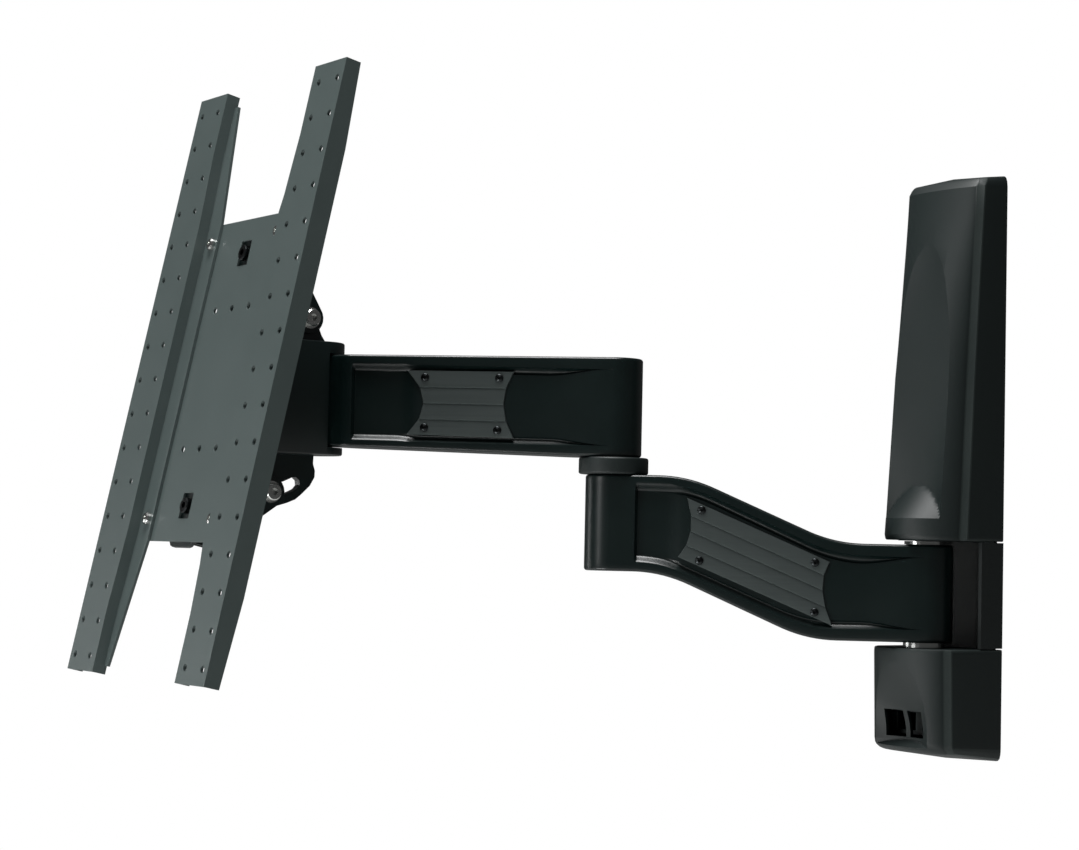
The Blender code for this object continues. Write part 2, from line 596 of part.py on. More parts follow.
def rail(name, side):
    middle = RISE + RAIL_SHIFT
    low, high = middle - RAIL_LENGTH / 2, middle + RAIL_LENGTH / 2
    outer = 107.5
    outline = [(side * outer, low)] + bowed(side) + [(side * outer, high)]
    outline = [(x, min(high, max(low, z))) for x, z in outline]
    body = add(name, slab(outline, "Y", depth(0), depth(14)), TILT, look=GREY)
    inner = bowed(side, SHEET)
    inner[0] = (inner[0][0], low - 5)
    inner[-1] = (inner[-1][0], high + 5)
    hollow = [(side * (outer - SHEET), low - 5)] + inner + [(side * (outer - SHEET), high + 5)]
    cut(body, name + "_hollow", slab(hollow, "Y", depth(SHEET), depth(20)), TILT)
    trim = [(side * 50, low - 5), (side * 90, low - 5), (side * 90, high + 5), (side * 50, high + 5)]
    cut(body, name + "_trim", slab(trim, "Y", depth(10), depth(20)), TILT)
    ends = [slab([(depth(11), z), (depth(9.5), z + s * 3), (depth(9.5), z + s * 6), (depth(20), z + s * 6),
                  (depth(20), z - s * 60), (depth(14), z - s * 60)], "X", *sorted((side * 95, side * 115)))
            for z, s in ((high, 1), (low, -1))]
    cut(body, name + "_ends", merge(*ends), TILT)
    foot = [(66.5, -205), (60, -205), (43, -115), (43, 115), (60, 205), (66.5, 205), (66.5, 170),
            (62.5, 110), (62.5, -110), (66.5, -170)]
    weld_on(body, name + "_foot", slab([(side * x, z + RISE) for x, z in foot], "Y", depth(8), depth(10)), TILT)
    rows = [(k - (HOLE_ROWS - 1) / 2) * HOLE_PITCH + RISE for k in range(HOLE_ROWS)]
    drills = [drum(HOLE_RADIUS, depth(-3), depth(4), (side * x, z), "Y", 10) for x in (75, 100) for z in rows]
    drills += [drum(2.9, depth(4), depth(14), (side * 50, z + RISE), "Y", 12) for z in (100, -100)]
    cut(body, name + "_holes", merge(*drills), TILT)


def turned(name, profile, place, spot, toward, look, segments=24):
    """A lathe-turned fastener laid along X or Y through a spot."""
    bm = lathe(profile, segments)
    turn = Matrix.Rotation(math.pi / 2, 3, "Y") if toward == "X" else Matrix.Rotation(math.pi / 2, 3, "X")
    bmesh.ops.rotate(bm, cent=(0, 0, 0), matrix=turn, verts=bm.verts)
    bmesh.ops.translate(bm, vec=spot, verts=bm.verts)
    return add(name, bm, place, look=look)


def fasteners():
    for word, z in (("upper", 100), ("lower", -100)):
        for side, x in (("left", -50), ("right", 50)):
            profile = [(0, -8.0), (2.5, -8.0), (2.5, 0.1), (4.4, 0.1), (4.4, 1.8), (3.4, 2.9), (1.6, 3.1),
                       (1.6, 1.9), (0, 1.9)]
            turned(f"rail_screw_{word}_{side}", profile, TILT, (x, depth(8), z + RISE), "Y", ZINC, 16)
    for word, z in (("upper", 90), ("lower", -90)):
        profile = [(0, -9.0), (3.0, -9.0), (3.0, 0.15), (5.6, 0.15), (5.6, 3.6), (5.0, 4.2), (2.4, 4.2),
                   (2.4, 2.2), (0, 2.2)]
        turned(f"window_bolt_{word}", profile, TILT, (0, depth(12.4), z + RISE), "Y", STEEL, 16)
    for word, sign in (("upper", 1), ("lower", -1)):
        spot = (0.0, *bolt_point(sign))
        profile = [(0, -17.0), (4.0, -17.0), (4.0, 8.3), (6.0, 8.3), (6.0, 12.0), (5.2, 12.8), (2.6, 12.8),
                   (2.6, 10.0), (0, 10.0)]
        turned(f"tilt_bolt_{word}", profile, TILT, spot, "X", ZINC)
        turned(f"tilt_washer_{word}", [(4.4, 7.0), (7.6, 7.0), (7.6, 8.1), (4.4, 8.1)], TILT, spot, "X", ZINC)
        nut = add(f"tilt_nut_{word}", drum(7.2, -13.6, -7.1, spot[1:], "X", 6), TILT, look=ZINC)
        cut(nut, f"tilt_nut_bore_{word}", drum(4.2, -20, 0, spot[1:], "X"), TILT)


wall_plate()
wall_pivot()
covers()
cable_guide()
lower_arm()
elbow()
upper_arm()
head_clevis()
head_pivot()
tilt_bracket()
centre_plate()
rail("left_rail", -1)
rail("right_rail", 1)
fasteners()
for item in PARTS.objects:
    item.data.shade_smooth()
    item.data.set_sharp_from_angle(angle=math.radians(35.0))
print("parts", len(PARTS.objects))
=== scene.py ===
# %% [markdown]
# A full motion wall mount for a flat screen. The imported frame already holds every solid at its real
# size and every joint. This lesson dresses that frame: castings with recessed sides, moulded covers,
# folded sheet rails, ribbed inlays and turned fasteners, each with a finish made of nodes.

# %% Load the frame
import json
import math
import bmesh
import bpy
from mathutils import Matrix, Vector


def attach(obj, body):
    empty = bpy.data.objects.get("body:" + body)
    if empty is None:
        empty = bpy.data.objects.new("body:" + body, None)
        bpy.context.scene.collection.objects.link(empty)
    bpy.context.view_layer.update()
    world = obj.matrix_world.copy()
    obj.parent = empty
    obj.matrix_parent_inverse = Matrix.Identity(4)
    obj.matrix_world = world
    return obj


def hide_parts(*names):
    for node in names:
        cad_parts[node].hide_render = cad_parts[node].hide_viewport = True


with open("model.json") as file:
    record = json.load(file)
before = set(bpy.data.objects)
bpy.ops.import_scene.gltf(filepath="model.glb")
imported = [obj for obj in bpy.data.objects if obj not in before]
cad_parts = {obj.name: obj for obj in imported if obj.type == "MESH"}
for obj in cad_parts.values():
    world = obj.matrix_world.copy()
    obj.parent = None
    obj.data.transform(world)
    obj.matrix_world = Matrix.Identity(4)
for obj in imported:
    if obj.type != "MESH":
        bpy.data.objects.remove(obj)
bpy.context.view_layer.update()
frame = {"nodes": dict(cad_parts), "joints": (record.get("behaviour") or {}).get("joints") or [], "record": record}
MM = 0.001

# %% [markdown]
# The pieces are easiest to draw in millimetres in the frame of the part they belong to: from the wall
# or along an arm. Those frames are read from the joints, so nothing is fitted.

# %% Local frames
pivots = {joint["name"]: Vector(joint["pos_m"]) for joint in frame["joints"]}


def upright(origin, along=(1.0, 0.0, 0.0)):
    """A millimetre frame at an origin whose X runs level along a direction."""
    ahead = Vector((along[0], along[1], 0.0)).normalized()
    side = Vector((-ahead.y, ahead.x, 0.0))
    turn = Matrix((ahead, side, Vector((0.0, 0.0, 1.0)))).transposed().to_4x4()
    return Matrix.Translation(origin) @ turn @ Matrix.Scale(MM, 4)


def level(point):
    return Vector((point.x, point.y, 0.0))


WALL_AXIS = level(pivots["wall_swivel"])
ELBOW_AXIS = level(pivots["elbow_swivel"])
HEAD_AXIS = level(pivots["head_swivel"])
WALL = upright(Vector((0.0, 0.0, 0.0)))
LOWER = upright(WALL_AXIS, ELBOW_AXIS - WALL_AXIS)
UPPER = upright(ELBOW_AXIS, HEAD_AXIS - ELBOW_AXIS)
ARM_LENGTH = (ELBOW_AXIS - WALL_AXIS).length / MM
print("arm", round(ARM_LENGTH, 1), "mm between pivots")

# %% [markdown]
# The camera stands to the right and a little below the middle of the mount, about 1.7 m away, with a
# long lens so that upright lines stay nearly parallel.

# %% Camera
YAW, PITCH, ROLL = (math.radians(angle) for angle in (55.85, 2.77, 1.24))
ahead = Vector((-math.sin(YAW) * math.cos(PITCH), math.cos(YAW) * math.cos(PITCH), math.sin(PITCH)))
right = Vector((math.cos(YAW), math.sin(YAW), 0.0))
above = right.cross(ahead)
camera_x = math.cos(ROLL) * right + math.sin(ROLL) * above
camera_y = math.cos(ROLL) * above - math.sin(ROLL) * right
camera = bpy.data.objects.new("camera", bpy.data.cameras.new("camera"))
bpy.context.scene.collection.objects.link(camera)
camera.matrix_world = (Matrix.Translation((1.2146, -1.1788, -0.0576))
                       @ Matrix((camera_x, camera_y, -ahead)).transposed().to_4x4())
camera.data.lens = 80.9
camera.data.sensor_width = 36.0
bpy.context.scene.camera = camera

# %% [markdown]
# Studio light: a pale surround, a broad lamp in front, a wide one overhead, a narrow upright one beyond
# the screen side that draws bright lines down the round ends, and a glow from below, as from a white
# table. Only the camera sees the surround as plain white; the black paint sees it dimmer.

# %% Light and floor
world = bpy.data.worlds.new("studio")
bpy.context.scene.world = world
world.use_nodes = True
sky = world.node_tree.nodes["Background"]
sky.inputs["Color"].default_value = (1.0, 1.0, 1.0, 1.0)
path = world.node_tree.nodes.new("ShaderNodeLightPath")
dim = world.node_tree.nodes.new("ShaderNodeMapRange")
dim.inputs["To Min"].default_value = 0.075
dim.inputs["To Max"].default_value = 1.0
world.node_tree.links.new(path.outputs["Is Camera Ray"], dim.inputs["Value"])
world.node_tree.links.new(dim.outputs["Result"], sky.inputs["Strength"])


def lamp(name, place, target, size, energy):
    """A soft rectangular lamp at a place, looking at a target; lengths in metres."""
    light = bpy.data.objects.new(name, bpy.data.lights.new(name, "AREA"))
    light.data.shape = "RECTANGLE"
    light.data.size, light.data.size_y = size
    light.data.energy = energy
    light.location = place
    light.rotation_euler = (Vector(target) - Vector(place)).to_track_quat("-Z", "Y").to_euler()
    bpy.context.scene.collection.objects.link(light)


lamp("key", (-0.6, -2.6, 0.4), (-0.2, -0.3, 0.0), (1.0, 1.0), 16.0)
lamp("overhead", (-0.05, -0.6, 1.7), (-0.1, -0.2, 0.0), (1.2, 0.5), 48.0)
lamp("strip", (-1.9, -1.3, -0.3), (-0.1, -0.2, -0.1), (0.2, 1.0), 3.2)
lamp("table", (-0.1, -1.1, -0.8), (-0.22, -0.42, -0.22), (0.6, 0.5), 14.0)

bpy.ops.mesh.primitive_plane_add(size=5.0, location=(0.0, 0.0, -0.75))
floor = bpy.context.object
floor.name = "floor"
paper = bpy.data.materials.new("paper")
paper.use_nodes = True
paper.node_tree.nodes["Principled BSDF"].inputs["Base Color"].default_value = (0.86, 0.86, 0.85, 1.0)
paper.node_tree.nodes["Principled BSDF"].inputs["Roughness"].default_value = 0.9
floor.data.materials.append(paper)
bpy.context.scene.view_settings.view_transform = "Standard"

# %% [markdown]
# Finishes are node trees. Writing them as Python sums keeps them short: Number wraps one socket, and
# adding or multiplying two of them adds the Math node that does it.

# %% A small language for finishes
class Number:
    """One shader value; sums and products of it add Math nodes to the tree."""

    def __init__(self, finish, socket):
        self.finish = finish
        self.socket = socket

    def join(self, operation, first, second):
        node = self.finish.node("ShaderNodeMath", {"operation": operation}, {0: first, 1: second})
        return Number(self.finish, node.outputs[0])

    def __add__(self, other):
        return self.join("ADD", self, other)

    def __mul__(self, other):
        return self.join("MULTIPLY", self, other)


class Finish:
    """One material under construction."""

    def __init__(self, name, roughness, metallic):
        self.material = bpy.data.materials.new(name)
        self.material.use_nodes = True
        self.tree = self.material.node_tree
        self.shader = self.tree.nodes["Principled BSDF"]
        self.shader.inputs["Roughness"].default_value = roughness
        self.shader.inputs["Metallic"].default_value = metallic
        self.place = self.node("ShaderNodeTexCoord", {}, {}).outputs["Object"]

    def node(self, kind, settings, inputs):
        """Add a node: its settings first, then the values or links of its sockets."""
        made = self.tree.nodes.new(kind)
        for key, value in settings.items():
            setattr(made, key, value)
        for key, value in inputs.items():
            self.feed(made.inputs[key], value)
        return made

    def feed(self, socket, value):
        source = value.socket if isinstance(value, Number) else value
        if isinstance(source, bpy.types.NodeSocket):
            self.tree.links.new(source, socket)
        else:
            socket.default_value = source

    def noise(self, scale, detail=2.0, stretch=(1.0, 1.0, 1.0)):
        """Cloudy pattern from 0 to 1; scale is in features per metre."""
        mapped = self.node("ShaderNodeMapping", {}, {"Vector": self.place, "Scale": stretch})
        made = self.node("ShaderNodeTexNoise", {},
                         {"Vector": mapped.outputs[0], "Scale": scale, "Detail": detail})
        return Number(self, made.outputs["Fac"])

    def grains(self, scale):
        """Distance to the nearest of many scattered points, as in a leathery mould texture."""
        made = self.node("ShaderNodeTexVoronoi", {}, {"Vector": self.place, "Scale": scale})
        return Number(self, made.outputs["Distance"])

    def blend(self, share, dark, light):
        mix = self.node("ShaderNodeMix", {"data_type": "RGBA"},
                        {0: share, 6: (*dark, 1.0), 7: (*light, 1.0)})
        return mix.outputs[2]

    def bump(self, height, strength, distance):
        made = self.node("ShaderNodeBump", {},
                         {"Height": height, "Strength": strength, "Distance": distance})
        self.feed(self.shader.inputs["Normal"], made.outputs[0])

    def colour(self, value):
        self.feed(self.shader.inputs["Base Color"], value)

    def rough(self, value):
        self.feed(self.shader.inputs["Roughness"], value)


# %% [markdown]
# Powder coat is sprayed on dry and baked, so it flows into a very fine orange peel. The arms and the
# head wear a green-black coat, the rails and the screen plate a greyer one, the wall plate a dull one.

# %% Powder coats
def powder_coat(name, dark, light, roughness, peel):
    finish = Finish(name, roughness, 0.0)
    cloud = finish.noise(38.0, 3.0)
    skin = finish.noise(1500.0, 2.0)
    fine = finish.noise(4200.0, 1.0)
    finish.colour(finish.blend(cloud * 0.7 + skin * 0.3, dark, light))
    finish.rough(cloud * 0.06 + skin * 0.10 + (roughness - 0.08))
    finish.bump(skin * 0.7 + fine * 0.3, peel, 0.00006)
    return finish.material


ARM_COAT = powder_coat("green_black_powder_coat", (0.0008, 0.0046, 0.0044), (0.0018, 0.0080, 0.0076),
                       0.32, 0.6)
PLATE_COAT = powder_coat("grey_powder_coat", (0.052, 0.070, 0.068), (0.066, 0.086, 0.084), 0.45, 0.45)
BRACKET_COAT = powder_coat("black_bracket_coat", (0.0010, 0.0040, 0.0040), (0.0020, 0.0064, 0.0062),
                           0.58, 0.4)

# %% [markdown]
# The covers are injection moulded. Their tool is spark eroded, which leaves a fine even grain of tiny
# pits, a little duller than the painted castings.

# %% Moulded plastic
def moulded_plastic(name, dark, light):
    finish = Finish(name, 0.42, 0.0)
    cloud = finish.noise(22.0, 2.0)
    pits = finish.grains(2600.0)
    finish.colour(finish.blend(cloud * 0.6 + pits * 0.4, dark, light))
    finish.rough(pits * 0.10 + cloud * 0.05 + 0.46)
    finish.bump(pits, 0.5, 0.00005)
    return finish.material


PLASTIC = moulded_plastic("moulded_plastic", (0.0010, 0.0052, 0.0050), (0.0024, 0.0088, 0.0084))
# The slanted strip on each cover is the same plastic. This lighter copy of it paints a highlight onto that strip.
STRIP_HIGHLIGHT_PLASTIC = moulded_plastic("strip_painted_highlight_plastic", (0.004, 0.010, 0.0095), (0.022, 0.032, 0.030))

# %% [markdown]
# The inlays are extruded aluminium, drawn through a die, so they carry faint lines along their length
# under a dark grey anodised layer.

# %% Anodised inlay
def anodised(name, place):
    """Streaks follow the arm, so the pattern is turned to lie along it."""
    finish = Finish(name, 0.36, 0.75)
    angle = place.to_euler().z
    along = finish.node("ShaderNodeMapping", {}, {"Vector": finish.place, "Rotation": (0.0, 0.0, -angle)})
    finish.place = along.outputs[0]
    streak = finish.noise(900.0, 3.0, (0.02, 1.0, 1.0))
    cloud = finish.noise(30.0, 2.0)
    finish.colour(finish.blend(streak * 0.5 + cloud * 0.5, (0.10, 0.122, 0.12), (0.15, 0.176, 0.172)))
    finish.rough(streak * 0.12 + 0.30)
    finish.bump(streak, 0.25, 0.00004)
    return finish.material


LOWER_INLAY = anodised("anodised_lower", LOWER)
UPPER_INLAY = anodised("anodised_upper", UPPER)

# %% [markdown]
# Most fasteners come in two finishes: bright zinc plating on the bolts that are meant to be reached,
# and black oxide on the small screws, which keeps a slight oily shine.

# %% Fastener metals
def metal(name, dark, light, roughness):
    finish = Finish(name, roughness, 1.0)
    cloud = finish.noise(160.0, 3.0)
    lines = finish.noise(2400.0, 2.0)
    finish.colour(finish.blend(cloud * 0.6 + lines * 0.4, dark, light))
    finish.rough(cloud * 0.10 + lines * 0.08 + (roughness - 0.09))
    finish.bump(lines, 0.2, 0.00003)
    return finish.material


ZINC = metal("bright_zinc", (0.46, 0.47, 0.46), (0.68, 0.69, 0.67), 0.24)
BLACK_STEEL = metal("black_oxide", (0.012, 0.014, 0.015), (0.040, 0.044, 0.045), 0.30)
print("finishes", len(bpy.data.materials))

# %% [markdown]
# Every finished piece is stored the same way: drawn in millimetres in its own frame, moved into the
# shared frame inside its mesh, told which body carries it and which solids of the frame it stands for.

# %% Storing a piece
nodes = frame["nodes"]
bodies = {node: body for body, members in frame["record"]["behaviour"]["bodies"].items()
          for node in members}
SMOOTH_BELOW = math.radians(38.0)


def closed(bm, gap=0.002):
    """Merge doubled corners, drop collapsed faces and turn every face outwards."""
    bmesh.ops.remove_doubles(bm, verts=bm.verts, dist=gap)
    bmesh.ops.dissolve_degenerate(bm, edges=bm.edges, dist=gap * 0.1)
    bmesh.ops.recalc_face_normals(bm, faces=bm.faces)


def keep(name, bm, place, solids, material, sharp=SMOOTH_BELOW):
    """Store a bmesh as a named piece that stands for one or more solids of the frame."""
    closed(bm)
    bm.transform(place)
    mesh = bpy.data.meshes.new(name)
    bm.to_mesh(mesh)
    bm.free()
    mesh.materials.append(material)
    mesh.shade_smooth()
    mesh.set_sharp_from_angle(angle=sharp)
    piece = bpy.data.objects.new(name, mesh)
    bpy.context.scene.collection.objects.link(piece)
    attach(piece, bodies[solids[0]])
    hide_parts(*solids)
    return piece


def apply_modifiers(piece):
    """Make the effect of a piece's modifiers permanent."""
    bpy.context.view_layer.update()
    shaped = piece.evaluated_get(bpy.context.evaluated_depsgraph_get())
    result = bpy.data.meshes.new_from_object(shaped)
    piece.modifiers.clear()
    piece.data = result


def bore(piece, tool, place):
    """Subtract a bmesh from a piece for good."""
    closed(tool)
    tool.transform(place)
    mesh = bpy.data.meshes.new("tool")
    tool.to_mesh(mesh)
    tool.free()
    cutter = bpy.data.objects.new("tool", mesh)
    bpy.context.scene.collection.objects.link(cutter)
    step = piece.modifiers.new("bore", "BOOLEAN")
    step.operation = "DIFFERENCE"
    step.solver = "EXACT"
    step.object = cutter
    apply_modifiers(piece)
    bpy.data.objects.remove(cutter, do_unlink=True)
    bpy.data.meshes.remove(mesh)
    piece.data.shade_smooth()
    piece.data.set_sharp_from_angle(angle=SMOOTH_BELOW)


# %% [markdown]
# Turned pieces such as pins, collars and bolts come off a lathe. Blender's lathe is spin: it sweeps
# one profile of radii and heights about an axis, and use_merge closes the last step on the first.

# %% Turning
def turned(profile, steps=64):
    """Spin an open (radius, height) profile about Z; points on the axis close the ends."""
    bm = bmesh.new()
    row = [bm.verts.new((radius, 0.0, height)) for radius, height in profile]
    edges = [bm.edges.new(pair) for pair in zip(row, row[1:])]
    bmesh.ops.spin(bm, geom=row + edges, cent=(0, 0, 0), axis=(0, 0, 1), angle=math.tau,
                   steps=steps, use_merge=True)
    return bm


def rounded_rim(radius, height, size, up, count=4):
    """Profile points of a rounded outer rim, from the wall to the face when up is +1."""
    points = []
    for k in range(count + 1):
        turn = math.pi / 2 * k / count
        points.append((radius - size + size * math.cos(turn), height - up * size * (1 - math.sin(turn))))
    return points if up > 0 else points[::-1]


def laid(bm, along, spot):
    """Lay a turned shape along Y, toward -Y when along is +1, then carry it to a spot."""
    bm.transform(Matrix.Translation(spot) @ Matrix.Rotation(along * math.pi / 2, 4, "X"))
    return bm


# %% [markdown]
# Both arms are die castings of the same form: round ends, a flange along each edge, a groove inside
# the flange and a web between the grooves that carries the inlay. Toward the wall the web swells up
# to full thickness and the grooves run out in points. Toward the screen everything ends in one step.
# A grid is the right start, because its columns can follow the round plan and its rows can follow
# the flange lines. A function sends every corner of the grid to its place.

# %% Grids that follow a shape
def mapped_grid(columns, rows, send):
    """A grid whose corner (i, j) is sent to a point by a function."""
    bm = bmesh.new()
    bmesh.ops.create_grid(bm, x_segments=columns, y_segments=rows, size=1.0)
    for corner in bm.verts:
        i = round((corner.co.x + 1.0) / 2.0 * columns)
        j = round((corner.co.y + 1.0) / 2.0 * rows)
        corner.co = send(i, j)
    return bm


def ease(value, start, stop):
    """Smooth change from 0 at start to 1 at stop."""
    t = min(1.0, max(0.0, (value - start) / (stop - start)))
    return t * t * (3.0 - 2.0 * t)


def softened(points, reach, count=14):
    """Replace the inner corners of a line by smooth bends of a given reach."""
    line = [points[0]]
    for before, corner, after in zip(points, points[1:], points[2:]):
        here = Vector(corner)
        entry = here + (Vector(before) - here).normalized() * reach
        leave = here + (Vector(after) - here).normalized() * reach
        for k in range(count + 1):
            t = k / count
            line.append(tuple(entry * (1 - t) ** 2 + here * 2 * t * (1 - t) + leave * t * t))
    return line + [points[-1]]


def reading(line):
    """A function that reads the height of a line at a distance along it."""
    def read(x):
        for (x0, z0), (x1, z1) in zip(line, line[1:]):
            if x <= x1:
                return z0 + (z1 - z0) * max(0.0, x - x0) / max(1e-9, x1 - x0)
        return line[-1][1]
    return read


# %% Arm casting
HALF = 19.0
FILLET = 2.0
FILLET_STEPS = 4
WEB_ROWS = 6
GROOVE_STEPS = 12
STEP_SOFT = 0.9
GROOVE_DEPTH = 2.3
GROOVE_FULL_AT = 20.0
GROOVE_FADE = 8.0
WELL_GROOVE_LOSS = 0.85
WEB_START = 4.0
WEB_FULL_AT = 44.0
WEB_SINK = 2.3
WELL_SINK = 2.0
WELL_SLOPE = 6.0
WEB_BOW = 0.35
BOW_FULL_AT = 34.0


def arm_rows(x, form):
    """Heights and depths up the side of an arm at a distance along it, bottom to top."""
    low, top = form["low"](x), form["top"](x)
    well = form["well"]
    end = 1.0 - ease(x, form["step"] - STEP_SOFT, form["step"] + STEP_SOFT)
    groove = form["groove"] * max(0.02, ease(x, 0.0, WEB_FULL_AT))
    fade = 1.0 - WELL_GROOVE_LOSS * ease(x, well - GROOVE_FADE, well + GROOVE_FADE)
    deep = GROOVE_DEPTH * ease(x, 0.0, GROOVE_FULL_AT) * end * fade
    sink = WEB_SINK * ease(x, WEB_START, WEB_FULL_AT)
    web = (sink + WELL_SINK * ease(x, well - WELL_SLOPE, well + WELL_SLOPE)) * end
    part = min(1.0, max(0.0, x / form["step"]))

    def half(sign, edge, flange):
        width = flange[0] + (flange[1] - flange[0]) * part
        rows = []
        for k in range(FILLET_STEPS + 1):
            turn = math.pi / 2 * k / FILLET_STEPS
            rows.append((edge + sign * FILLET * (1 - math.cos(turn)), FILLET * (1 - math.sin(turn))))
        rows.append((edge + sign * (width - 1.0), 0.0))
        for k in range(GROOVE_STEPS + 1):
            t = k / GROOVE_STEPS
            hollow = deep * math.sin(math.pi * t) ** 0.75
            rows.append((edge + sign * (width + groove * t), hollow + web * ease(t, 0.0, 1.0)))
        rows.append((edge + sign * (width + groove + 0.8), web))
        return rows

    lower = half(1, low, form["flange_low"])
    upper = half(-1, top, form["flange_top"])
    middle = []
    for k in range(1, WEB_ROWS):
        t = k / WEB_ROWS
        bow = WEB_BOW * math.sin(math.pi * t) * end * ease(x, 0.0, BOW_FULL_AT)
        middle.append((lower[-1][0] + (upper[-1][0] - lower[-1][0]) * t, web - bow))
    return lower + middle + upper[::-1]


def arm_mesh(form, half_plan):
    """Skin of an arm: columns go round the plan, rows go from the bottom over the side to the top."""
    around = half_plan + [(x, -y) for x, y in reversed(half_plan[1:-1])] + [half_plan[0]]
    stations = [min(ARM_LENGTH, max(0.0, x)) if form["flat_ends"] else x for x, _ in around]
    sides = [arm_rows(x, form) for x in stations]
    rows = len(sides[0]) + 1

    def send(i, j):
        x, y = around[i]
        spine = Vector((min(ARM_LENGTH, max(0.0, x)), 0.0, 0.0))
        out = Vector((x, y, 0.0)) - spine
        if j in (0, rows):
            height, inset = sides[i][0 if j == 0 else -1][0], out.length
        else:
            height, inset = sides[i][j - 1]
            on_flat = 0.0 <= x <= form["flat_until"]
            if FILLET_STEPS < j - 1 < len(sides[i]) - 1 - FILLET_STEPS and not on_flat:
                inset = 0.0
        return spine + out.normalized() * (out.length - inset) + Vector((0.0, 0.0, height))

    return mapped_grid(len(around) - 1, rows, send)


def round_end(centre, radius, start, stop, count):
    """Plan points of a round end between two angles in degrees."""
    angles = [math.radians(start + (stop - start) * k / count) for k in range(count + 1)]
    return [(centre + radius * math.cos(a), radius * math.sin(a)) for a in angles]


def side_marks(step):
    """Distances along an arm at which its side has columns, close together at the tips and the step."""
    marks = [2.0, 4.0, 6.0, 8.5, 11.5, 15.0, 19.0, 23.0, 27.0, 32.0]
    while marks[-1] < step - 9.0:
        marks.append(marks[-1] + 4.5)
    return marks + [step + move for move in (-3.0, -1.8, -1.2, -0.8, -0.4, 0.0, 0.4, 0.8, 1.2, 1.8, 3.0)]


# %% Lower arm
LOWER_FORM = {
    "low": reading(softened([(-30.0, -119.3), (79.0, -119.3), (177.5, -76.0), (240.0, -76.0)], 20.0)),
    "top": reading(softened([(-30.0, -53.8), (61.0, -53.8), (161.0, -10.2), (240.0, -10.2)], 20.0)),
    "flange_low": (8.6, 6.2), "flange_top": (8.6, 5.6), "groove": 5.6, "step": 195.5, "well": 168.0,
    "flat_ends": True, "flat_until": ARM_LENGTH}
plan = (round_end(0.0, HALF, 180, 90, 20) + [(x, HALF) for x in side_marks(LOWER_FORM["step"])]
        + [(206.0, HALF)] + round_end(ARM_LENGTH, HALF, 90, 0, 20))
lower_arm = keep("arm_lower_casting", arm_mesh(LOWER_FORM, plan), LOWER, ["lower_arm"], ARM_COAT)
print("lower arm", len(lower_arm.data.polygons), "faces")

# %% Upper arm
TIP_RADIUS = 14.5
UPPER_FORM = {
    "low": reading([(-30.0, 1.95), (30.0, 1.95), (229.0, 7.0)]),
    "top": reading([(-30.0, 69.9), (229.0, 70.1)]),
    "flange_low": (7.4, 4.6), "flange_top": (8.6, 6.2), "groove": 5.2, "step": 181.0, "well": 141.0,
    "flat_ends": False, "flat_until": 184.0}
plan = (round_end(0.0, HALF, 180, 90, 20) + [(x, HALF) for x in side_marks(UPPER_FORM["step"])]
        + [(187.0, 18.4), (190.0, 17.0), (193.0, 15.0), (196.0, 13.2), (199.0, 12.3), (202.0, 12.2)]
        + round_end(ARM_LENGTH, TIP_RADIUS, 122, 0, 18))
upper_arm = keep("arm_upper_casting", arm_mesh(UPPER_FORM, plan), UPPER, ["upper_arm"], ARM_COAT)
print("upper arm", len(upper_arm.data.polygons), "faces")

# %% [markdown]
# Each inlay is a strip of ribbed extrusion: four flat bands, each leaning a little, with a small step
# between neighbours, and ends cut to a hollow curve. The grid's rows follow the bands.

# %% Inlays
INLAY_FOOT = HALF - 2.4
BANDS = 4
BAND_ROWS = ((0.0, 0.62), (0.06, 0.7), (0.9, 0.12), (0.97, 0.0))
LENGTH_STEPS = 28
BAND_FOOT = 1.3
LOW_EDGE, TOP_EDGE = 1.5, 0.9
END_LID, FULL_LID = 1.0, 3.0
END_BEVEL = 0.35


def inlay_mesh(corners, sags, sign):
    """Ribbed strip between four (x, z) corners given clockwise from the lower wall end."""
    low_a, low_b, top_b, top_a = (Vector(c) for c in corners)
    rows = [(0.0, 0.0)] + [((k + v) / BANDS, BAND_FOOT + rise) for k in range(BANDS) for v, rise in BAND_ROWS]
    rows += [(1.0, TOP_EDGE), (1.0, 0.0)]
    rows[1:1] = [(0.0, LOW_EDGE)]
    columns = [(0.0, 0.0), (0.0, END_LID)]
    columns += [(k / LENGTH_STEPS, FULL_LID) for k in range(LENGTH_STEPS + 1)]
    columns += [(1.0, END_LID), (1.0, 0.0)]

    def send(i, j):
        (u, lid), (v, rise) = columns[i], rows[j]
        near, far = low_a.lerp(top_a, v), low_b.lerp(top_b, v)
        hollow = 1.0 - (2.0 * v - 1.0) ** 2
        run = (far - near).normalized()
        near, far = near + run * sags[0] * hollow, far - run * sags[1] * hollow
        if i in (2, len(columns) - 3):
            near, far = near + run * END_BEVEL, far - run * END_BEVEL
        spot = near.lerp(far, u)
        return Vector((spot.x, sign * (INLAY_FOOT + 0.05 + min(rise, lid)), spot.y))

    bm = mapped_grid(len(columns) - 1, len(rows) - 1, send)
    closed(bm)
    bmesh.ops.holes_fill(bm, edges=[edge for edge in bm.edges if edge.is_boundary], sides=0)
    return bm


LOWER_CORNERS = ((62.0, -109.3), (166.6, -65.4), (161.0, -25.2), (64.0, -66.6))
UPPER_CORNERS = ((67.4, 13.4), (142.6, 15.0), (142.9, 59.2), (67.7, 59.2))
INLAYS = {"lower": (LOWER, LOWER_INLAY, LOWER_CORNERS, (6.0, 6.0)),
          "upper": (UPPER, UPPER_INLAY, UPPER_CORNERS, (7.0, 11.5))}
for arm, (place, finish, corners, sags) in INLAYS.items():
    for side, sign in (("near", 1.0), ("far", -1.0)):
        keep(f"inlay_{arm}_{side}", inlay_mesh(corners, sags, sign), place, [f"{arm}_inlay_{side}"], finish,
             math.radians(12.0))
print("inlays", 2 * len(INLAYS))

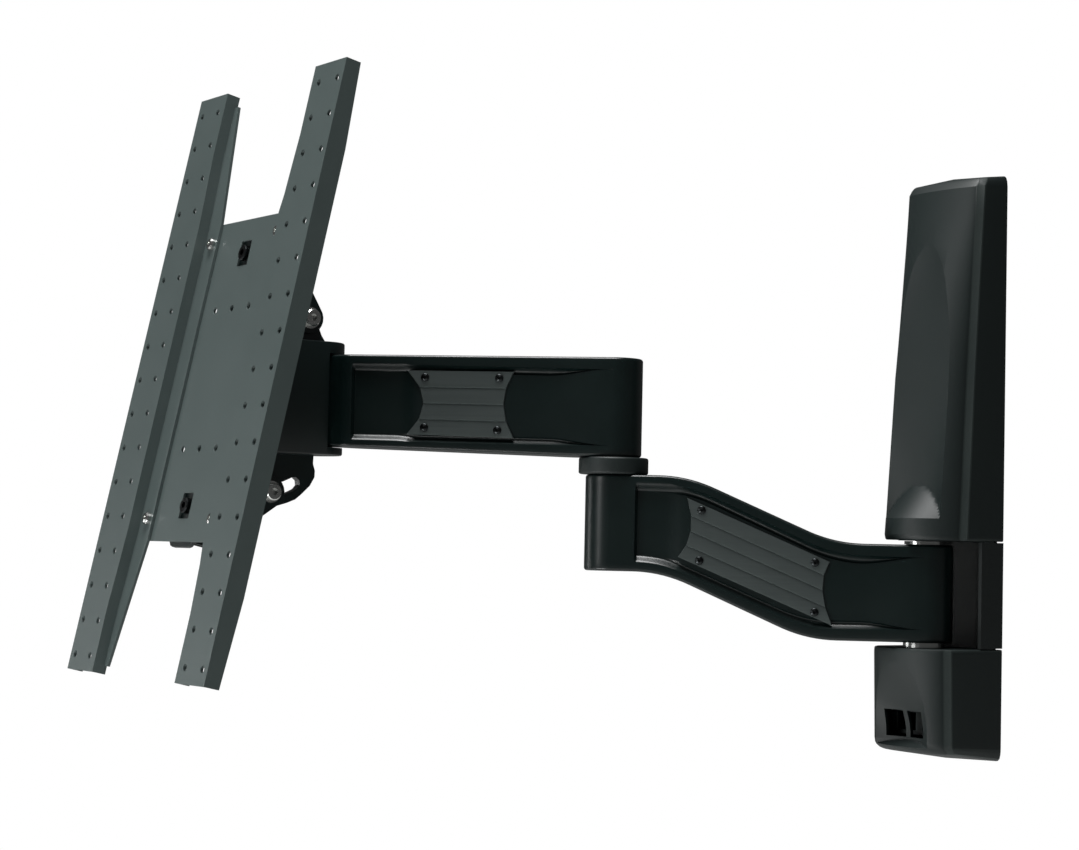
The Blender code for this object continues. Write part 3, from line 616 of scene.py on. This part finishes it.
# %% [markdown]
# Small button head screws hold the inlays. One spun profile gives the shank, the domed head and the
# round recess at its top.

# %% Inlay screws
SHANK_RADIUS, SHANK_LENGTH = 1.4, 6.0
HEAD_RADIUS, HEAD_RIM, HEAD_DOME = 2.9, 0.45, 1.15


def button_screw(seat):
    """Button head screw along Z with its head up and its seat at a height."""
    dome = [(0.0, seat - SHANK_LENGTH), (SHANK_RADIUS, seat - SHANK_LENGTH), (SHANK_RADIUS, seat),
            (HEAD_RADIUS, seat), (HEAD_RADIUS, seat + HEAD_RIM)]
    dome += [(HEAD_RADIUS * math.cos(a), seat + HEAD_RIM + HEAD_DOME * math.sin(a))
             for a in (0.25, 0.5, 0.75, 1.0)]
    return turned(dome + [(1.2, seat + 1.6), (1.05, seat + 0.7), (0.0, seat + 0.6)], 32)


LOWER_SPOTS = ((74.0, -100.6), (152.0, -67.6), (151.0, -33.4), (74.0, -67.2))
UPPER_SPOTS = ((78.7, 18.6), (130.0, 19.9), (130.1, 54.6), (78.1, 54.6))
for arm, place, spots in (("lower", LOWER, LOWER_SPOTS), ("upper", UPPER, UPPER_SPOTS)):
    for side, sign in (("near", 1), ("far", -1)):
        for number, (x, z) in enumerate(spots, 1):
            screw = laid(button_screw(INLAY_FOOT + 1.75), -sign, (x, 0.0, z))
            keep(f"button_screw_{arm}_{side}_{number}", screw, place, [f"{arm}_screw_{side}_{number}"],
                 BLACK_STEEL)
print("inlay screws", 4 * len(LOWER_SPOTS))

# %% [markdown]
# Between the arms sits a round plastic collar with soft rims. The pin's head closes the barrel from
# below and a cap closes it from above.

# %% Elbow
LOW_END, HIGH_END = -76.0, 69.9
COLLAR_LOW, COLLAR_HIGH, COLLAR_RADIUS = -9.9, 1.65, 24.0
COLLAR_RIM = 1.6
PIN_HOLE = 8.4
SEAT_RADIUS = 13.2
CAP_RADIUS = 12.8
collar = ([(PIN_HOLE, COLLAR_LOW)] + rounded_rim(COLLAR_RADIUS, COLLAR_LOW, COLLAR_RIM, -1)
          + rounded_rim(COLLAR_RADIUS, COLLAR_HIGH, COLLAR_RIM, 1)
          + [(PIN_HOLE, COLLAR_HIGH), (PIN_HOLE, COLLAR_LOW)])
keep("elbow_collar_ring", turned(collar, 96), UPPER, ["elbow_collar"], PLASTIC)


def end_seat(low, high):
    """Round tool for the shallow seat at one end of the elbow barrel."""
    return turned([(0, low), (SEAT_RADIUS, low), (SEAT_RADIUS, high), (0, high)])


bore(lower_arm, end_seat(LOW_END - 3, LOW_END + 4), LOWER @ Matrix.Translation((ARM_LENGTH, 0, 0)))
bore(upper_arm, end_seat(HIGH_END - 4.4, HIGH_END + 3), UPPER)
cap = [(0.0, HIGH_END - 4.2), (CAP_RADIUS, HIGH_END - 4.2)]
cap += rounded_rim(CAP_RADIUS, HIGH_END + 0.2, 0.8, 1)
cap += [(4.4, HIGH_END + 0.2), (4.0, HIGH_END - 0.2), (4.0, HIGH_END - 2.4), (0.0, HIGH_END - 2.4)]
keep("elbow_cap_disc", turned(cap), UPPER, ["elbow_cap"], PLASTIC)
print("elbow collar", 2 * COLLAR_RADIUS, "mm across")

# %% [markdown]
# Two moulded covers hide the wall plate. Each is a shell: flat sides, a narrow slanted strip, and
# a front that swells toward the middle, with a long arched hollow scooped out of it like a thumb
# print. The skin is a grid wrapped round the sections, and the hollow is a dished solid subtracted
# from it, so its crisp outline is simply where the two surfaces cross.

# %% Cover sections
COVER_HALF = 37.0
STRIP = 3.7
SHELL = 2.5
FRONT_STEPS = 18
UPPER_LINE = ((-50.6, 33.4, 60.5, 0.0), (-47.0, 33.2, 62.0, 0.0), (60.0, 28.5, 52.0, 0.0),
              (130.0, 24.6, 41.0, 0.0), (190.0, 21.0, 30.0, 2.0), (198.0, 18.0, 25.0, 5.0))
LOWER_LINE = ((-198.0, 42.0, 55.0, -5.0), (-192.0, 44.5, 61.0, -3.0), (-185.0, 45.0, 62.5, 0.0),
              (-127.0, 46.5, 64.0, 0.0), (-123.2, 46.5, 63.5, 0.0))


def at_height(line, z):
    """Side depth, middle depth and drop of a cover at a height."""
    for low, high in zip(line, line[1:]):
        if z <= high[0]:
            t = min(1.0, max(0.0, (z - low[0]) / (high[0] - low[0])))
            return [a + (b - a) * t for a, b in zip(low[1:], high[1:])]
    return list(line[-1][1:])


def front_depth(line, x, z):
    """How far the front stands out from the wall at a point."""
    side, middle = at_height(line, z)[:2]
    swell = max(0.0, 1.0 - (x / (COVER_HALF - STRIP)) ** 2) ** 0.7
    return side + STRIP + (middle - side - STRIP) * swell


def cover_mesh(line, marks, inset, back):
    """Closed skin of a cover; marks are (height, pull toward the middle) rows."""
    half = COVER_HALF - inset
    edge = half - STRIP
    xs = [edge * math.cos(math.pi / 2 * k / FRONT_STEPS) for k in range(1, FRONT_STEPS + 1)]

    def section(z):
        side, middle, drop = at_height(line, z)
        ring = [(0.0, -back), (half - 0.5, -back), (half, 0.5 - back), (half, side - 0.8),
                (half - 0.3, side + 0.2), (edge + 0.5, side + STRIP - 0.6),
                (edge, side + STRIP + 0.2 - inset)]
        ring += [(x, front_depth(line, x * (COVER_HALF - STRIP) / edge, z) - inset) for x in xs]
        return ring + [(-x, depth) for x, depth in reversed(ring[1:-1])] + [ring[0]], drop

    rings = []
    for z, pull in marks:
        ring, drop = section(z)
        rings.append([(x * (1.0 - pull / half), -depth * (1.0 - pull / 60.0) if depth > 0 else -depth,
                       z - drop * min(1.0, max(0.0, depth) / 40.0)) for x, depth in ring])

    def send(i, j):
        if j in (0, len(rings) + 1):
            ring = rings[0 if j == 0 else -1]
            return Vector((0.0, -15.0, ring[0][2]))
        return Vector(rings[j - 1][i])

    return mapped_grid(len(rings[0]) - 1, len(rings) + 1, send)


def dish_mesh(line, half, low, turn, apex, bottom, rise, inward):
    """Solid whose back is the dished hollow of a cover; rise is the slope of its lower ledge."""
    across, up = 48, 96

    def send(i, j):
        u = (i / across * 2.0 - 1.0) * 1.12
        z = low - 4.0 + (apex - low + 4.0) * j / up
        wide = half * math.sqrt(max(0.0, 1.0 - max(0.0, (z - turn) / (apex - turn)) ** 2.3)) + 0.02
        rim = front_depth(line, min(wide, COVER_HALF - STRIP), z)
        climb = (front_depth(line, 0.0, apex) - bottom) * ease(z, turn, apex)
        deepest = min(bottom + climb, rim + 30.0)
        dish = deepest + (rim - deepest) * u * u
        ledge = front_depth(line, min(abs(u) * wide, COVER_HALF - STRIP), low) - (z - low) * rise
        return Vector((u * wide, -(max(dish, ledge) - inward), z))

    bm = mapped_grid(across, up, send)
    grown = bmesh.ops.extrude_face_region(bm, geom=bm.faces[:])
    for corner in (item for item in grown["geom"] if isinstance(item, bmesh.types.BMVert)):
        corner.co.y = -95.0
    return bm


def prism(outline, low, high):
    """Upright prism over an (x, y) outline."""
    bm = bmesh.new()
    face = bm.faces.new([bm.verts.new((x, y, low)) for x, y in outline])
    grown = bmesh.ops.extrude_face_region(bm, geom=[face])
    raised = [item for item in grown["geom"] if isinstance(item, bmesh.types.BMVert)]
    bmesh.ops.translate(bm, vec=(0.0, 0.0, high - low), verts=raised)
    return bm


# %% Covers
PIVOT_DEPTH = -WALL_AXIS.y / MM
NOTCH_RADIUS = 18.6
NOTCH_STEPS = 24
PLATE_HALF = 32.0
PLATE_FRONT = -3.6
WINDOW_BACK, WINDOW_FRONT = -44.0, -60.0
WINDOW_LOW, WINDOW_HIGH = -183.0, -165.0
COVER_SHARP = math.radians(26.0)
NOTCH = [(NOTCH_RADIUS, PLATE_FRONT), (PLATE_HALF, PLATE_FRONT), (PLATE_HALF, 4.0), (-PLATE_HALF, 4.0),
         (-PLATE_HALF, PLATE_FRONT), (-NOTCH_RADIUS, PLATE_FRONT)]
for k in range(NOTCH_STEPS + 1):
    turn = math.pi * (1 + k / NOTCH_STEPS)
    NOTCH.append((NOTCH_RADIUS * math.cos(turn), -PIVOT_DEPTH + NOTCH_RADIUS * math.sin(turn)))


def cover(node, line, marks, inner, dish, notch, windows):
    """Skin, dished hollow, open back and cable openings of one cover."""
    skin = cover_mesh(line, marks, 0.0, 0.3)
    # Faces of the slanted strip take the second, lighter plastic, which paints a highlight onto the strip.
    for face in skin.faces:
        middle = face.calc_center_median()
        if COVER_HALF - STRIP - 0.1 < abs(middle.x) < COVER_HALF - 0.02 and middle.y < -10.0:
            face.material_index = 1
    piece = keep(node + "_shell", skin, WALL, [node], PLASTIC)
    piece.data.materials.append(STRIP_HIGHLIGHT_PLASTIC)
    bore(piece, dish_mesh(line, *dish, 0.0), WALL)
    core = keep(node + "_core", cover_mesh(line, inner, SHELL, -8.0), WALL, [node], PLASTIC)
    bore(core, dish_mesh(line, *dish, SHELL), WALL)
    hollow = bmesh.new()
    hollow.from_mesh(core.data)
    bpy.data.objects.remove(core, do_unlink=True)
    bore(piece, hollow, Matrix.Identity(4))
    bore(piece, prism(NOTCH, *notch), WALL)
    for low_x, high_x in windows:
        outline = [(low_x, WINDOW_FRONT), (high_x, WINDOW_FRONT), (high_x, WINDOW_BACK),
                   (low_x, WINDOW_BACK)]
        bore(piece, prism(outline, WINDOW_LOW, WINDOW_HIGH), WALL)
    piece.data.set_sharp_from_angle(angle=COVER_SHARP)
    return piece


UPPER_MARKS = [(-50.6, 0.8), (-50.1, 0.2)]
UPPER_MARKS += [(z, 0.0) for z in (-49.0, -47.0, -30.0, 0.0, 30.0, 60.0, 80.0, 100.0, 120.0, 130.0, 150.0,
                                   170.0, 190.0)]
UPPER_MARKS += [(194.0, 0.4), (196.6, 1.4), (197.7, 2.6), (198.0, 4.0)]
LOWER_MARKS = [(-198.0, 4.0), (-197.6, 2.4), (-196.2, 1.0), (-193.0, 0.2)]
LOWER_MARKS += [(z, 0.0) for z in (-190.0, -185.0, -165.0, -145.0, -127.0, -124.6)]
LOWER_MARKS += [(-123.6, 0.2), (-123.2, 0.8)]
UPPER_INNER = [(z, 0.0) for z in (-48.0, 0.0, 60.0, 130.0, 190.5)]
LOWER_INNER = [(z, 0.0) for z in (-192.0, -185.0, -155.0, -125.7)]
UPPER_DISH = (26.5, -36.0, 40.0, 151.0, 42.0, 0.85)
LOWER_DISH = (25.0, -189.0, -182.0, -131.0, 49.6, 3.0)
CABLE_WINDOWS = ((-18.0, -2.0), (2.0, 18.0))
upper_cover = cover("upper_cover", UPPER_LINE, UPPER_MARKS, UPPER_INNER, UPPER_DISH, (-60.0, -44.0), ())
lower_cover = cover("lower_cover", LOWER_LINE, LOWER_MARKS, LOWER_INNER, LOWER_DISH, (-133.0, -110.0),
                    CABLE_WINDOWS)
print("covers", len(upper_cover.data.polygons), len(lower_cover.data.polygons), "faces")

# %% [markdown]
# The remaining pieces are folded sheet and mouldings whose solids already have the right shape. What
# they lack is the small radius that every real edge has, so a merged copy of each solid gets a bevel.

# %% Edge radii on sheet and mouldings
def round_edges(piece, width, segments, angle):
    """Give every edge sharper than an angle a small radius."""
    step = piece.modifiers.new("radius", "BEVEL")
    step.width = width * MM
    step.segments = segments
    step.limit_method = "ANGLE"
    step.angle_limit = math.radians(angle)
    step.harden_normals = True
    step.use_clamp_overlap = True


def eased(node, width, material, slot, segments=2, angle=32.0):
    """A copy of a solid of the frame with its edges rounded, standing in for it."""
    bm = bmesh.new()
    bm.from_mesh(nodes[node].data)
    bmesh.ops.remove_doubles(bm, verts=bm.verts, dist=2e-6)
    bmesh.ops.dissolve_limit(bm, angle_limit=math.radians(0.4), verts=bm.verts, edges=bm.edges)
    mesh = bpy.data.meshes.new(node + "_skin")
    bm.to_mesh(mesh)
    bm.free()
    if "custom_normal" in mesh.attributes:
        mesh.attributes.remove(mesh.attributes["custom_normal"])
    mesh.materials.clear()
    mesh.materials.append(material)
    mesh.shade_smooth()
    piece = bpy.data.objects.new(node + "_skin", mesh)
    bpy.context.scene.collection.objects.link(piece)
    round_edges(piece, width, segments, angle)
    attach(piece, bodies[node])
    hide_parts(node)


EASED = (("cable_guide", 0.4, PLASTIC, "cover_plastic"),
         ("wall_plate", 0.4, BRACKET_COAT, "bracket_steel"),
         ("lug_upper", 0.5, BRACKET_COAT, "bracket_steel"), ("lug_lower", 0.5, BRACKET_COAT, "bracket_steel"),
         ("head_clevis", 0.7, ARM_COAT, "arm_coat"), ("tilt_bracket", 0.5, ARM_COAT, "arm_coat"),
         ("centre_plate", 0.3, PLATE_COAT, "plate_coat"), ("left_rail", 0.5, PLATE_COAT, "plate_coat"),
         ("right_rail", 0.5, PLATE_COAT, "plate_coat"))
for node, width, finish, slot_name in EASED:
    eased(node, width, finish, slot_name)
print("eased pieces", len(EASED))

# %% Finishes on the solids that stay
STAYING = {"elbow_pin": BLACK_STEEL, "wall_pin": BRACKET_COAT, "wall_nut": ZINC, "wall_washer_upper": ZINC,
           "wall_washer_lower": ZINC, "head_pin": BLACK_STEEL, "head_washer_upper": PLASTIC,
           "head_washer_lower": PLASTIC}
for word in ("upper", "lower"):
    STAYING.update({f"tilt_bolt_{word}": ZINC, f"tilt_washer_{word}": ZINC, f"tilt_nut_{word}": ZINC,
                    f"window_bolt_{word}": BLACK_STEEL, f"rail_screw_{word}_left": ZINC,
                    f"rail_screw_{word}_right": ZINC})
for node, finish in STAYING.items():
    for place_for_finish in nodes[node].material_slots:
        place_for_finish.material = finish
print("solids kept as they are", len(STAYING))
